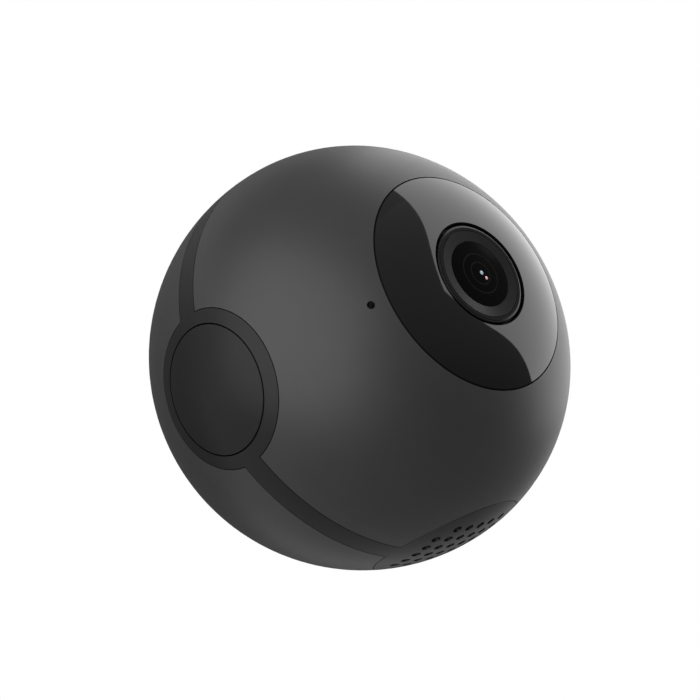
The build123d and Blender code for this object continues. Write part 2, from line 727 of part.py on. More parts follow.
def board_connectors():
    """Plugs on the main board: ribbon, battery, speaker and button."""
    z = (SPREADER_H - RIBBON_W) / 2
    sketch = Rectangle(RIBBON_PLUG_W, RIBBON_W + 2 * PLUG_EDGE)
    plugs = [slab(sketch, BOARD_Y - CHIP_T, BOARD_Y, CORNER, z)]
    sizes = [
        (BATTERY_PLUG_X, 0, BATTERY_PLUG_W, BATTERY_PLUG_H),
        (SPEAKER_PLUG_X, -SPEAKER_PLUG_DROP, SPEAKER_PLUG_W, SPEAKER_PLUG_H),
        (-BUTTON_PLUG_X, 0, BUTTON_PLUG_W, BUTTON_PLUG_H),
    ]
    for x, z, width, height in sizes:
        plugs.append(slab(Rectangle(width, height), BOARD_BACK, BOARD_BACK + PLUG_T, x, z))
    return plugs


def rear_bracket():
    """Round plate on four legs, with the tripod hub, its ribs and a shelf at the back."""
    bracket = rod_y(PLATE_R, PLATE_Y, PLATE_BACK)
    for x, z in CORNERS:
        bracket += rod_y(LEG_R, BOARD_BACK, PLATE_BACK, x, z)
    bracket += rod_y(HUB_R, PLATE_Y, SEAT_PAD_Y)
    rise = (SEAT_PAD_Y - PLATE_BACK) * 0.8
    for turn_by in (0, 90, 180):
        rib = make_face(Polyline((0, 0), (RIB_REACH, 0), (HUB_R, rise), (0, rise), close=True))
        rib = Pos(0, PLATE_BACK, -RIB_T / 2) * extrude(rib, RIB_T)
        bracket += Rot(0, -turn_by, 0) * rib
    x0 = USB_BOARD_SHIFT - USB_BOARD_W / 2
    shelf_y = PLATE_BACK + SHELF_DEEP
    x1 = x0 + USB_BOARD_W
    bracket += block(x0, x1, PLATE_Y, shelf_y, USB_BOARD_LOW - SHELF_T, USB_BOARD_LOW)
    bracket -= rod_y(BUSH_R + FIT, SEAT_Y - BUSH_FLANGE_T - BUSH_LENGTH, FAR)
    for x, z in CORNERS:
        bracket -= rod_y(LONG_SCREW_R + SCREW_GAP, 0, FAR, x, z)
    for x in (-USB_SCREW_X, USB_SCREW_X):
        bracket -= rod_z(USB_SCREW_R + GRIP_GAP, -FAR, USB_BOARD_LOW, x, USB_SCREW_Y)
    return bracket


def long_screws():
    """Four long screws through bracket, main board and frame tabs into the front shell."""
    reach = PLATE_BACK + TAB_T / 2 + SCREW_GRIP
    one = Rot(-90, 0, 0) * screw(LONG_SCREW_R, LONG_HEAD_R, LONG_HEAD_T, reach)
    return [Pos(x, PLATE_BACK, z) * one for x, z in CORNERS]


def battery():
    """Flat pouch cell between the main board and the bracket."""
    end = PLATE_Y - PAD_T
    sketch = RectangleRounded(BATTERY_W, BATTERY_H, BATTERY_CORNER)
    cell = slab(sketch, end - BATTERY_T, end, 0, BATTERY_UP)
    return fillet(cell.edges().filter_by(GeomType.LINE).filter_by(Axis.X), BATTERY_EDGE)


def battery_pad():
    """Foam tape between the battery and the bracket plate."""
    return slab(Rectangle(PAD_W, PAD_H), PLATE_Y - PAD_T, PLATE_Y, 0, BATTERY_UP)


def tripod_bush():
    """Flanged metal bush with the tripod thread's hole and two holes for a pin key."""
    end = SEAT_Y - BUSH_FLANGE_T
    bush = rod_y(BUSH_FLANGE_R, end, SEAT_Y) + rod_y(BUSH_R, end - BUSH_LENGTH, end)
    bush -= rod_y(THREAD_R, SEAT_Y - THREAD_DEPTH, FAR)
    for x in (-KEY_HOLE_OFFSET, KEY_HOLE_OFFSET):
        bush -= rod_y(KEY_HOLE_R, end + BUSH_FLANGE_T * 0.4, FAR, x)
    return bush


def usb_board():
    """Charging board on the bracket's shelf, with a narrow nose under the socket."""
    board = block(
        USB_BOARD_SHIFT - USB_BOARD_W / 2,
        USB_BOARD_SHIFT + USB_BOARD_W / 2,
        USB_BOARD_Y,
        USB_BOARD_Y + USB_BOARD_DEEP,
        USB_BOARD_LOW,
        USB_BOARD_TOP,
    )
    half = USB_NOSE_W / 2
    nose_y = USB_BOARD_Y + USB_NOSE_DEEP
    board += block(-half, half, USB_BOARD_Y, nose_y, USB_BOARD_LOW, USB_BOARD_TOP)
    for x in (-USB_SCREW_X, USB_SCREW_X):
        board -= rod_z(USB_SCREW_R + SCREW_GAP, -FAR, 0, x, USB_SCREW_Y)
    return board


def usb_socket():
    """Charging socket: a rounded metal mouth with a tongue in its middle."""
    back = USB_FACE - USB_LENGTH
    socket = slab(SlotOverall(USB_W, USB_H), back, USB_FACE, 0, -USB_DROP)
    mouth = SlotOverall(USB_W - 2 * USB_SHELL_T, USB_H - 2 * USB_SHELL_T)
    socket -= slab(mouth, back + 2 * USB_SHELL_T, FAR, 0, -USB_DROP)
    tongue = Rectangle(TONGUE_W, TONGUE_T)
    return socket + slab(tongue, back, USB_FACE - 2 * USB_SHELL_T, 0, -USB_DROP)


def reset_switch():
    """Tiny side-pushed switch on the charging board."""
    half = RESET_BODY / 2
    body = block(
        RESET_X - half,
        RESET_X + half,
        RESET_FACE - RESET_BODY,
        RESET_FACE,
        USB_BOARD_TOP,
        USB_BOARD_TOP + RESET_BODY_T,
    )
    pocket = Rectangle(RESET_STEM_W + 2 * CAP_GAP, RESET_STEM_H + 2 * CAP_GAP)
    depth = 3 * RESET_TRAVEL + 2 * RESET_STEM_ROOT
    return body - slab(pocket, RESET_FACE - depth, RESET_FACE, RESET_X, RESET_Z)


def reset_plunger():
    """Stem of the reset switch, reached with a pin through the rear shell."""
    stem = Rectangle(RESET_STEM_W, RESET_STEM_H)
    root = RESET_FACE - 2 * RESET_TRAVEL - RESET_STEM_ROOT
    return slab(stem, root, RESET_FACE + RESET_STEM_OUT, RESET_X, RESET_Z)


def usb_screws():
    """Two small screws that hold the charging board on its shelf."""
    one = screw(USB_SCREW_R, USB_HEAD_R, SCREW_HEAD_T * 0.8, BOARD_T + SHELF_T * 0.9)
    return [Pos(x, USB_SCREW_Y, USB_BOARD_TOP) * one for x in (-USB_SCREW_X, USB_SCREW_X)]


def speaker_mesh():
    """Thin domed dust mesh behind the grille."""
    skin = ball(WALL + FIT) - ball(WALL + FIT + MESH_T)
    return skin & rod_z(DISH_R - FIT, -FAR, LAND_Z)


def speaker_gasket():
    """Foam ring between the frame's flat seat and the speaker."""
    ring = rod_z(SPEAKER_R, LAND_Z, SPEAKER_Z)
    return ring - rod_z(DISH_R + FIT, LAND_Z, SPEAKER_Z)


def speaker_section(*points):
    """Speaker piece turned round Z, from corners in radius and height above its face."""
    face = Plane.XZ * make_face(Polyline(*points, close=True))
    return Pos(0, 0, SPEAKER_Z) * revolve(face, Axis.Z, 360)


def speaker_frame():
    """Basket of the speaker: a rim, a slanted wall and a floor round the voice coil."""
    wall = SPEAKER_RIM_T
    inner = SPEAKER_R - wall
    return speaker_section(
        (inner, 0),
        (SPEAKER_R, 0),
        (SPEAKER_R, wall),
        (MAGNET_R + wall, SPEAKER_DEPTH),
        (MAGNET_R / 2, SPEAKER_DEPTH),
        (MAGNET_R / 2, SPEAKER_DEPTH - wall),
        (MAGNET_R, SPEAKER_DEPTH - wall),
        (inner, wall),
    )


def speaker_cone():
    """Thin cone and dome, fixed inside the speaker's rim."""
    rim = SPEAKER_R - SPEAKER_RIM_T - FIT / 2
    top = [
        (0, DOME_DEPTH - DOME_RISE),
        (DOME_R, DOME_DEPTH),
        (rim - SURROUND_W, CONE_DEPTH),
        (rim, CONE_DEPTH),
    ]
    back = [(radius, depth + CONE_T) for radius, depth in reversed(top)]
    return speaker_section(*top, *back)


def speaker_magnet():
    """Magnet on the basket, with the pole that reaches into the voice coil."""
    pole = MAGNET_R / 2 - CAP_GAP
    return rod_z(MAGNET_R, MAGNET_Z, CLAMP_Z) + rod_z(pole, MAGNET_Z - POLE_LENGTH, MAGNET_Z)


def speaker_clamp():
    """Strip over the magnet with a foot on each of the two small bosses."""
    length = 2 * (PAD_R + BOSS_OUT + BOSS_R)
    strap = Rot(0, 0, 45) * SlotOverall(length, 2 * BOSS_R)
    clamp = Pos(0, 0, CLAMP_Z) * extrude(strap, CLAMP_T)
    for x, y in BOSS_PLACES:
        clamp += rod_z(BOSS_R, SPEAKER_BOSS_Z, CLAMP_Z + CLAMP_T, x, y)
        clamp -= rod_z(SCREW_R + SCREW_GAP, -FAR, 0, x, y)
    return clamp


def speaker_screws():
    """Two screws through the clamp into the frame's bosses."""
    top = CLAMP_Z + CLAMP_T
    one = small_screw(top - SPEAKER_BOSS_Z - FIT)
    return [Pos(x, y, top) * one for x, y in BOSS_PLACES]


def on_cap_rim(edge):
    """True for the curved edges where the cap's side meets its face."""
    middle = edge @ 0.5
    at_side = math.hypot(middle.Y, middle.Z) > CAP_R - GRIP_GAP
    return at_side and middle.X < STOP_X - STOP_GAP and edge.geom_type != GeomType.LINE


def button_cap():
    """Round cap flush with the ball, with a skirt, a stop flange and a nib underneath."""
    cap = ball(0) & rod_x(CAP_R, -FAR, CAP_BACK)
    rim = [edge for edge in cap.edges() if on_cap_rim(edge)]
    cap = fillet(rim, CAP_EDGE)
    cap += rod_x(CAP_FLANGE_R, CAP_BACK - CAP_FLANGE_T, CAP_BACK)
    cap -= ball(CAP_WALL) & rod_x(CAP_R - CAP_SKIRT, -FAR, 0)
    return cap + (ball(CAP_WALL / 2) & rod_x(NIB_R, -FAR, CAP_BACK - FIT))


def button_return():
    """Silicone ring between the cap and its board, which pushes the cap back out."""
    outer = CAP_R - FIT
    ring = rod_x(outer, CAP_BACK, BUTTON_BOARD_X)
    return ring - rod_x(outer - RETURN_T, CAP_BACK, BUTTON_BOARD_X)


def switch_plunger():
    """Round plunger of the switch, under the cap's nib."""
    return rod_x(PLUNGER_R, CAP_BACK, SWITCH_X + BUTTON_TRAVEL)


def button_switch():
    """Square switch body with a round pocket for its plunger."""
    half = SWITCH_SIZE / 2
    body = block(SWITCH_X, BUTTON_BOARD_X, -half, half, -half, half)
    depth = SWITCH_X + 3 * BUTTON_TRAVEL
    return body - rod_x(PLUNGER_R + FIT, SWITCH_X, depth)


def button_board():
    """Round board that carries the switch."""
    return rod_x(BUTTON_BOARD_R, BUTTON_BOARD_X, BRACKET_X)


def button_bracket():
    """Round plate with two ears that holds the switch board against the frame's bosses."""
    plate = Circle(BUTTON_BOARD_R + BRACKET_EDGE) - Circle(PLUNGER_R * 2)
    length = 2 * (PAD_R + BOSS_OUT + BOSS_R)
    ears = SlotOverall(length, 2 * BOSS_R) - Circle(BUTTON_BOARD_R)
    plate += Rot(0, 0, 45) * ears
    bracket = Pos(BRACKET_X, 0, 0) * extrude(Plane.YZ * plate, BRACKET_T)
    for y, z in BOSS_PLACES:
        bracket -= rod_x(SCREW_R + SCREW_GAP, -FAR, 0, y, z)
    return bracket


def button_screws():
    """Two screws through the button's bracket into the frame's bosses."""
    one = Rot(0, 90, 0) * small_screw(BRACKET_T - FIT)
    return [Pos(BRACKET_X + BRACKET_T, y, z) * one for y, z in BOSS_PLACES]


def mic_boot():
    """Silicone boot with a sound hole, between the shell and the microphone."""
    boot = rod_z(MIC_POCKET_R - FIT, -MIC_FLOOR - BOOT_T, -MIC_FLOOR)
    return MIC_PLACE * (boot - rod_z(MIC_HOLE_R, -MIC_DEPTH, 0))


def microphone():
    """Flat metal microphone against the boot."""
    top = MIC_FLOOR + BOOT_T
    return MIC_PLACE * block(-MIC_W / 2, MIC_W / 2, -MIC_H / 2, MIC_H / 2, -top - MIC_T, -top)


def mic_board():
    """Round board that closes the microphone's pocket."""
    top = MIC_FLOOR + BOOT_T + MIC_T
    return MIC_PLACE * rod_z(MIC_POCKET_R - FIT, -top - MIC_BOARD_T, -top)


PIECES = [
    front_shell,
    mid_frame,
    rear_shell,
    window,
    window_tape,
    lens_seal,
    lens_barrel,
    lens_retainer,
    front_element,
    baffle_ring,
    middle_element,
    stop_ring,
    rear_element,
    ir_filter,
    lens_holder,
    image_sensor,
    sensor_glass,
    sensor_board,
    sensor_screws,
    holder_screws,
    sensor_ribbon,
    main_board,
    processor,
    shield_can,
    thermal_pad,
    heat_spreader,
    memory_chip,
    wifi_module,
    board_connectors,
    rear_bracket,
    long_screws,
    battery,
    battery_pad,
    tripod_bush,
    usb_board,
    usb_socket,
    reset_switch,
    reset_plunger,
    usb_screws,
    speaker_mesh,
    speaker_gasket,
    speaker_frame,
    speaker_cone,
    speaker_magnet,
    speaker_clamp,
    speaker_screws,
    button_cap,
    button_return,
    switch_plunger,
    button_switch,
    button_board,
    button_bracket,
    button_screws,
    mic_boot,
    microphone,
    mic_board,
]

os.makedirs("parts", exist_ok=True)
for piece in PIECES:
    made = piece()
    solids = made if isinstance(made, list) else [made]
    solids = [solid for item in solids for solid in item.solids()]
    moved = [Pos(0, -SEAT_Y, 0) * solid for solid in solids]
    shape = moved[0] if len(moved) == 1 else Compound(children=moved)
    export_step(shape, f"parts/{piece.__name__}.step")
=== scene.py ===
import json
import math

import bmesh
import bpy
from mathutils import Matrix, Vector


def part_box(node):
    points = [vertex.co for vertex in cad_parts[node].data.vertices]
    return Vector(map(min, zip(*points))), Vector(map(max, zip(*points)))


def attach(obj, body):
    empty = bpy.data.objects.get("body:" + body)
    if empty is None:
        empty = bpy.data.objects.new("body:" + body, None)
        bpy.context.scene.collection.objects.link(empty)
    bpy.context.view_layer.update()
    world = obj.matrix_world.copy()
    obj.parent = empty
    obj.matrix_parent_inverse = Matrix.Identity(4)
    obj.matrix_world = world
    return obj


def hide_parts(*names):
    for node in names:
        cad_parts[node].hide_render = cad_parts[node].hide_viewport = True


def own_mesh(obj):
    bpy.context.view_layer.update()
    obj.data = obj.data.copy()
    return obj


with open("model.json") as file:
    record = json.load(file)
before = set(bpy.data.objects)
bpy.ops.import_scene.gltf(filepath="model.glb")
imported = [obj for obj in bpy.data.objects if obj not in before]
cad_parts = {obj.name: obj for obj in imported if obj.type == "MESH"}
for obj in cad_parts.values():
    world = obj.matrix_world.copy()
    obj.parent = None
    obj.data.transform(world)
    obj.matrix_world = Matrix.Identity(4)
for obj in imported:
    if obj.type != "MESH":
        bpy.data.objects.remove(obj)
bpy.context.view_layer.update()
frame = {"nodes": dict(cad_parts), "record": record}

# The frame's origin is the mouth of the tripod thread, at the back of the ball. Pieces are sized
# in millimetres and turned into metres by MM. The studio round them is in metres.
MM = 0.001
BALL_R = 32.0
SEAT_R = 8.0
BALL_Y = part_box("rear_shell")[1].y - math.sqrt(BALL_R**2 - SEAT_R**2) * MM
BALL_CENTRE = Vector((0, BALL_Y, 0))

# Noise mostly lies between its low and its high. A grain is in waves to the metre, and the
# unevenness of a colour is coarser than the grain by a number of times.
NOISE_LOW = 0.3
NOISE_HIGH = 0.7
NOISE_DETAIL = 3.0
COARSER = 40
COLOUR_SWING = 0.1
GLOSS_SWING = 0.06
PLAIN_IOR = 1.5
FILM_IOR = 1.22
TURNED_SPREAD = 0.4
QUARTER_TURN = 0.25


def node_tree(name):
    """New material with nodes, and its tree and principled shader."""
    material = bpy.data.materials.new(name)
    material.use_nodes = True
    tree = material.node_tree
    return material, tree, tree.nodes["Principled BSDF"]


def add(tree, kind, **values):
    """New node with its properties or named inputs set."""
    node = tree.nodes.new(kind)
    for key, value in values.items():
        if key in node.inputs:
            node.inputs[key].default_value = value
        else:
            setattr(node, key, value)
    return node


def noise(tree, scale):
    """Noise in the part's own space, at a number of waves to the metre."""
    place = add(tree, "ShaderNodeTexCoord")
    texture = add(tree, "ShaderNodeTexNoise", Scale=scale, Detail=NOISE_DETAIL)
    tree.links.new(place.outputs["Object"], texture.inputs["Vector"])
    return texture.outputs["Fac"]


def ranged(tree, value, start, end, low, high):
    """A value between start and end, mapped to lie between low and high."""
    node = add(tree, "ShaderNodeMapRange")
    for name, level in (("From Min", start), ("From Max", end), ("To Min", low), ("To Max", high)):
        node.inputs[name].default_value = level
    tree.links.new(value, node.inputs["Value"])
    return node.outputs["Result"]


def tint(tree, value, dark, light):
    """Colour between two, by a value."""
    mix = add(tree, "ShaderNodeMix", data_type="RGBA")
    mix.inputs[6].default_value = (*dark, 1)
    mix.inputs[7].default_value = (*light, 1)
    tree.links.new(value, mix.inputs["Factor"])
    return mix.outputs[2]


def bump(tree, shader, height, distance):
    """Bump of a real depth in metres."""
    node = add(tree, "ShaderNodeBump", Distance=distance)
    tree.links.new(height, node.inputs["Height"])
    tree.links.new(node.outputs["Normal"], shader.inputs["Normal"])


def moulded(name, colour, roughness, grain, depth, shine=0.5, index=PLAIN_IOR):
    """Moulded plastic or rubber with a fine grain, slightly uneven in colour and gloss."""
    material, tree, shader = node_tree(name)
    shader.inputs["Specular IOR Level"].default_value = shine
    shader.inputs["IOR"].default_value = index
    fine = noise(tree, grain)
    broad = noise(tree, grain / COARSER)
    dark = [c * (1 - COLOUR_SWING) for c in colour]
    light = [c * (1 + COLOUR_SWING) for c in colour]
    tree.links.new(tint(tree, broad, dark, light), shader.inputs["Base Color"])
    low = roughness - GLOSS_SWING
    high = roughness + GLOSS_SWING
    tree.links.new(ranged(tree, fine, NOISE_LOW, NOISE_HIGH, low, high), shader.inputs["Roughness"])
    bump(tree, shader, fine, depth)
    return material


def polished(name, colour, low, high, grain):
    """Polished plastic, with a faint unevenness in its gloss alone."""
    material, tree, shader = node_tree(name)
    shader.inputs["Base Color"].default_value = (*colour, 1)
    level = ranged(tree, noise(tree, grain), NOISE_LOW, NOISE_HIGH, low, high)
    tree.links.new(level, shader.inputs["Roughness"])
    return material


def metal(name, colour, roughness, grain, depth):
    """Metal with fine uneven polish."""
    material = moulded(name, colour, roughness, grain, depth)
    material.node_tree.nodes["Principled BSDF"].inputs["Metallic"].default_value = 1.0
    return material


def turned(name, colour, roughness, grain, depth, index, metallic):
    """Finish turned on a lathe about the lens axis, so that its gloss spreads across the turning lines."""
    material = moulded(name, colour, roughness, grain, depth, index=index)
    tree = material.node_tree
    shader = tree.nodes["Principled BSDF"]
    shader.inputs["Metallic"].default_value = metallic
    shader.inputs["Anisotropic"].default_value = TURNED_SPREAD
    shader.inputs["Anisotropic Rotation"].default_value = QUARTER_TURN
    around = add(tree, "ShaderNodeTangent", direction_type="RADIAL", axis="Y")
    tree.links.new(around.outputs["Tangent"], shader.inputs["Tangent"])
    return material


def glass(name, colour, film):
    """Clear glass with a coating of a given thickness in nanometres."""
    material, tree, shader = node_tree(name)
    shader.inputs["Base Color"].default_value = (*colour, 1)
    shader.inputs["Transmission Weight"].default_value = 1.0
    shader.inputs["Roughness"].default_value = 0.0
    shader.inputs["IOR"].default_value = PLAIN_IOR
    shader.inputs["Thin Film Thickness"].default_value = film
    shader.inputs["Thin Film IOR"].default_value = FILM_IOR
    return material


# Most looks have a colour, a roughness, a grain and its depth in metres, and a shine where it
# isn't the usual one.
LOOKS = {
    "shell_plastic": moulded("shell_plastic", (0.022, 0.022, 0.0223), 0.45, 9000, 6e-6),
    "frame_plastic": moulded("frame_plastic", (0.006, 0.006, 0.0061), 0.4, 9000, 6e-6, 0.28),
    "button_plastic": moulded("button_plastic", (0.006, 0.006, 0.0061), 0.4, 9000, 6e-6, 0.26),
    "window_gloss": polished("window_gloss", (0.003, 0.003, 0.0031), 0.03, 0.05, 400),
    "adhesive": moulded("adhesive", (0.02, 0.02, 0.02), 0.8, 5000, 1e-5),
    "lens_metal": moulded("lens_metal", (0.006, 0.006, 0.0061), 0.5, 9000, 3e-6, 0.1),
    "lens_glass": glass("lens_glass", (0.97, 0.98, 1.0), 135),
    "filter_glass": glass("filter_glass", (0.7, 0.85, 0.9), 180),
    "rubber": moulded("rubber", (0.015, 0.015, 0.015), 0.65, 6000, 8e-6),
    "inner_plastic": moulded("inner_plastic", (0.025, 0.025, 0.026), 0.5, 7000, 6e-6),
    "circuit_board": moulded("circuit_board", (0.006, 0.07, 0.025), 0.35, 2500, 6e-6),
    "chip": moulded("chip", (0.015, 0.015, 0.016), 0.55, 8000, 5e-6),
    "tin_plate": metal("tin_plate", (0.6, 0.6, 0.6), 0.28, 3000, 3e-6),
    "spreader": metal("spreader", (0.72, 0.72, 0.74), 0.35, 3000, 3e-6),
    "flex": moulded("flex", (0.42, 0.16, 0.02), 0.35, 3000, 3e-6),
    "screw_steel": metal("screw_steel", (0.5, 0.5, 0.5), 0.25, 6000, 2e-6),
    "cell": metal("cell", (0.6, 0.6, 0.62), 0.4, 1500, 2e-5),
    "bush_metal": turned("bush_metal", (0.5, 0.5, 0.5), 0.3, 6000, 2e-7, PLAIN_IOR, 1.0),
    "stem_plastic": moulded("stem_plastic", (0.6, 0.6, 0.57), 0.45, 6000, 5e-6),
    "mesh": moulded("mesh", (0.012, 0.012, 0.012), 0.7, 6000, 1e-5),
    "speaker_shell": moulded("speaker_shell", (0.015, 0.015, 0.015), 0.5, 6000, 6e-6),
    "cone": moulded("cone", (0.05, 0.05, 0.05), 0.6, 3000, 1e-5),
    "magnet": metal("magnet", (0.55, 0.55, 0.56), 0.25, 5000, 2e-6),
    "bracket_steel": metal("bracket_steel", (0.6, 0.6, 0.58), 0.3, 3000, 3e-6),
}

for part in frame["record"]["subparts"]:
    node = frame["nodes"][part["node"]]
    node.data.materials.clear()
    node.data.materials.append(LOOKS[part["material_slot"]])

# Piece making. Profiles are (radius, depth) points in millimetres.
STEPS = 128
MERGE = 1e-7
SHARP = math.radians(10)


def put(name, data):
    """New object in the scene."""
    thing = bpy.data.objects.new(name, data)
    bpy.context.scene.collection.objects.link(thing)
    return thing


def make_piece(name, points, faces, finish):
    """Piece from points in metres and faces, with its finish, riding on the camera's body."""
    mesh = bpy.data.meshes.new(name)
    mesh.from_pydata(points, [], faces)
    shape = bmesh.new()
    shape.from_mesh(mesh)
    bmesh.ops.remove_doubles(shape, verts=shape.verts, dist=MERGE)
    bmesh.ops.recalc_face_normals(shape, faces=shape.faces)
    shape.to_mesh(mesh)
    shape.free()
    mesh.materials.append(finish)
    mesh.shade_smooth()
    mesh.set_sharp_from_angle(angle=SHARP)
    piece = put(name, mesh)
    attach(piece, "camera_body")
    return piece


def along(x_side, y_side, inward, x, y, z):
    """Place with its depth axis pointing into the part from a point."""
    turn = Matrix((x_side, y_side, inward)).transposed().to_4x4()
    return Matrix.Translation((x, y, z)) @ turn


def lathe(name, profile, place, finish):
    """Piece turned from a closed profile about the depth axis of its place."""
    points = []
    faces = []
    count = len(profile)
    for k in range(STEPS):
        a = math.tau * k / STEPS
        for radius, depth in profile:
            points.append(place @ (Vector((radius * math.cos(a), radius * math.sin(a), depth)) * MM))
    for k in range(STEPS):
        here = k * count
        after = (k + 1) % STEPS * count
        for i in range(count):
            j = (i + 1) % count
            faces.append((here + i, here + j, after + j, after + i))
    return make_piece(name, points, faces, finish)


def dome_depth(radius, apex, ball):
    """Depth at a radius of a dome cut from a ball, with its apex on the axis."""
    return apex + ball - math.sqrt(ball**2 - radius**2)


def dome(radius, apex, ball, steps, foot):
    """Closed profile of a dome with a straight wall down to its flat foot."""
    out = []
    for k in range(steps + 1):
        r = radius * k / steps
        out.append((r, dome_depth(r, apex, ball)))
    return [*out, (radius, foot), (0, foot)]


# Lens, with depths counted inwards from the barrel's front face
LENS_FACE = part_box("lens_barrel")[0].y
LENS_PLACE = along((1, 0, 0), (0, 0, -1), (0, 1, 0), 0, LENS_FACE, 0)
CLEARANCE = 0.01
BARREL_R = 7.62
RIM_R = 7.76
RIM_TOP = -0.09
RIM_FLAT_R = 7.4
RIM_FOOT = 0.6
RIM_ROUND = 0.02
BEVEL_START = 0.04
BEVEL_EASE = 0.01
BEVEL_FALL = 0.13
BEVEL_END = 0.05
RETAINER_R = 6.9
RETAINER_TOP = -0.09
RETAINER_GAP = 0.03
RETAINER_BREAK = 0.04
RETAINER_FALL = 0.03
RETAINER_FOOT = 1.25
CONE_LIP = 0.12
CONE_END = 0.06
GLASS_R = 5.15
GLASS_APEX = -0.14
GLASS_BALL_R = 78.09
GLASS_STEPS = 16
GLASS_FOOT = 1.2
OUTER_LINE_R = 3.05
INNER_LINE_R = 1.66
LINE_WIDTH = 0.2
LINE_SLOPE = 0.03
LINE_RISE = 0.015
LINE_SUNK = 0.005
GLINT_RISE = 0.018
GLINT_BALL_R = 3.107
GLINT_STEPS = 6
GLINT_FOOT = 0.1

RIM_BLACK = moulded("lens_rim", (0.004, 0.004, 0.0041), 0.3, 9000, 2e-6, index=1.09)
EDGE_BLACK = moulded("rim_edge", (0.004, 0.004, 0.0041), 0.2, 9000, 5e-7, index=1.27)
# Lens lines: real ring edges inside the lens, drawn on the glass. Their colour, lighter than the glass, is a
# painted highlight on those edges.
LINE_BLACK = moulded("lens_line_and_highlight", (0.006, 0.006, 0.0061), 0.45, 9000, 5e-7, index=1.06)
RING_BLACK = turned("lens_ring", (0.004, 0.004, 0.0041), 0.2, 9000, 5e-7, 1.13, 0.0)
# Painted shade: the front glass is an opaque near-black dome, partly the lens's own black inside and partly
# the shade that lies in it.
GLASS_BLACK = moulded("front_glass_black_and_shade", (0.001, 0.001, 0.001), 0.12, 9000, 1e-7, index=1.045)
BLUE_COAT = metal("blue_coating", (0.14, 0.17, 0.195), 0.2, 9000, 1e-7)
PINK_COAT = metal("pink_coating", (0.29, 0.16, 0.185), 0.2, 9000, 1e-7)

# Each glint has a finish, a place across and up from the lens axis, and a radius.
GLINTS = {
    "blue_glass": (BLUE_COAT, 0.22, 0.06, 0.32),
    "pink_glass": (PINK_COAT, 0.72, -0.85, 0.26),
}


def make_barrel_edge():
    """Flat rim of the barrel, and the bevelled edge and wall outside it."""
    inner = RETAINER_R + RETAINER_GAP
    rim = [
        (inner, -CLEARANCE),
        (inner, RIM_TOP + RIM_ROUND),
        (inner + RIM_ROUND, RIM_TOP),
        (RIM_FLAT_R, RIM_TOP),
        (RIM_FLAT_R, -CLEARANCE),
    ]
    lathe("lens_rim", rim, LENS_PLACE, RIM_BLACK)
    edge = [
        (RIM_FLAT_R, -CLEARANCE),
        (RIM_FLAT_R, RIM_TOP),
        (RIM_FLAT_R + BEVEL_START, RIM_TOP + BEVEL_EASE),
        (RIM_R - BEVEL_END, RIM_TOP + BEVEL_FALL),
        (RIM_R, RIM_TOP + BEVEL_FALL + BEVEL_END),
        (RIM_R, RIM_FOOT),
        (BARREL_R + CLEARANCE, RIM_FOOT),
        (BARREL_R + CLEARANCE, -CLEARANCE),
    ]
    lathe("rim_edge", edge, LENS_PLACE, EDGE_BLACK)


def make_retainer():
    """Turned retainer, whose face is a shallow cone down to the glass."""
    ring = [
        (RETAINER_R, RETAINER_TOP + RETAINER_FALL),
        (RETAINER_R - RETAINER_BREAK, RETAINER_TOP),
        (GLASS_R + CONE_LIP, CONE_END),
        (GLASS_R, CONE_END + RETAINER_BREAK),
        (GLASS_R, RETAINER_FOOT),
        (RETAINER_R, RETAINER_FOOT),
    ]
    piece = lathe("retainer_ring", ring, LENS_PLACE, RING_BLACK)
    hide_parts("lens_retainer")


def make_glass():
    """Front glass as an opaque, faintly glossy near-black dome, with the rings and the two glints that it
    shows. Its black is partly the lens's own black inside and partly painted shade.
    """
    cover = dome(GLASS_R, GLASS_APEX, GLASS_BALL_R, GLASS_STEPS, GLASS_FOOT)
    piece = lathe("front_glass", cover, LENS_PLACE, GLASS_BLACK)
    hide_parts("front_element")
    ridge = [
        (0, -LINE_SUNK),
        (LINE_SLOPE, LINE_RISE),
        (LINE_WIDTH - LINE_SLOPE, LINE_RISE),
        (LINE_WIDTH, -LINE_SUNK),
    ]
    # Each line is a ring edge inside the lens, lighter by a painted highlight.
    for name, inner in (("outer_line", OUTER_LINE_R), ("inner_line", INNER_LINE_R)):
        line = []
        for out, rise in ridge:
            line.append((inner + out, dome_depth(inner + out, GLASS_APEX, GLASS_BALL_R) - rise))
        lathe(name, line, LENS_PLACE, LINE_BLACK)
    for name, (finish, x, z, radius) in GLINTS.items():
        top = dome_depth(math.hypot(x, z), GLASS_APEX, GLASS_BALL_R) - GLINT_RISE
        cap = dome(radius, top, GLINT_BALL_R, GLINT_STEPS, GLINT_FOOT)
        lathe(name, cap, LENS_PLACE @ Matrix.Translation((x * MM, -z * MM, 0)), finish)


make_barrel_edge()
make_retainer()
make_glass()

# Window. The ball's front stands out less than a true ball's. Its section is an arc whose centre
# lies off the lens axis, and which meets the ball at FRONT_ANGLE from that axis.
FRONT_R = 27.4
FRONT_ANGLE = math.radians(82.5)
FRONT_ARC_R = (BALL_R - FRONT_R) * math.sin(FRONT_ANGLE)
FRONT_ARC_Y = -(BALL_R - FRONT_R) * math.cos(FRONT_ANGLE)
WINDOW_R = 17.1
WINDOW_HOLE_R = 8.14
WINDOW_T = 1.4
WINDOW_EDGE = 0.12
ARC_STEPS = 48
WINDOW_EDGE_BLACK = moulded("window_edge", (0.002, 0.002, 0.002), 0.6, 9000, 1e-6, index=1.12)


def front_curve(inner, outer, depth):
    """Points of the ball's front from one radius to another, at a depth under its surface."""
    points = []
    for k in range(ARC_STEPS + 1):
        r = inner + (outer - inner) * k / ARC_STEPS
        rise = math.sqrt((FRONT_R - depth) ** 2 - (r - FRONT_ARC_R) ** 2)
        points.append((r, FRONT_ARC_Y - rise))
    return points


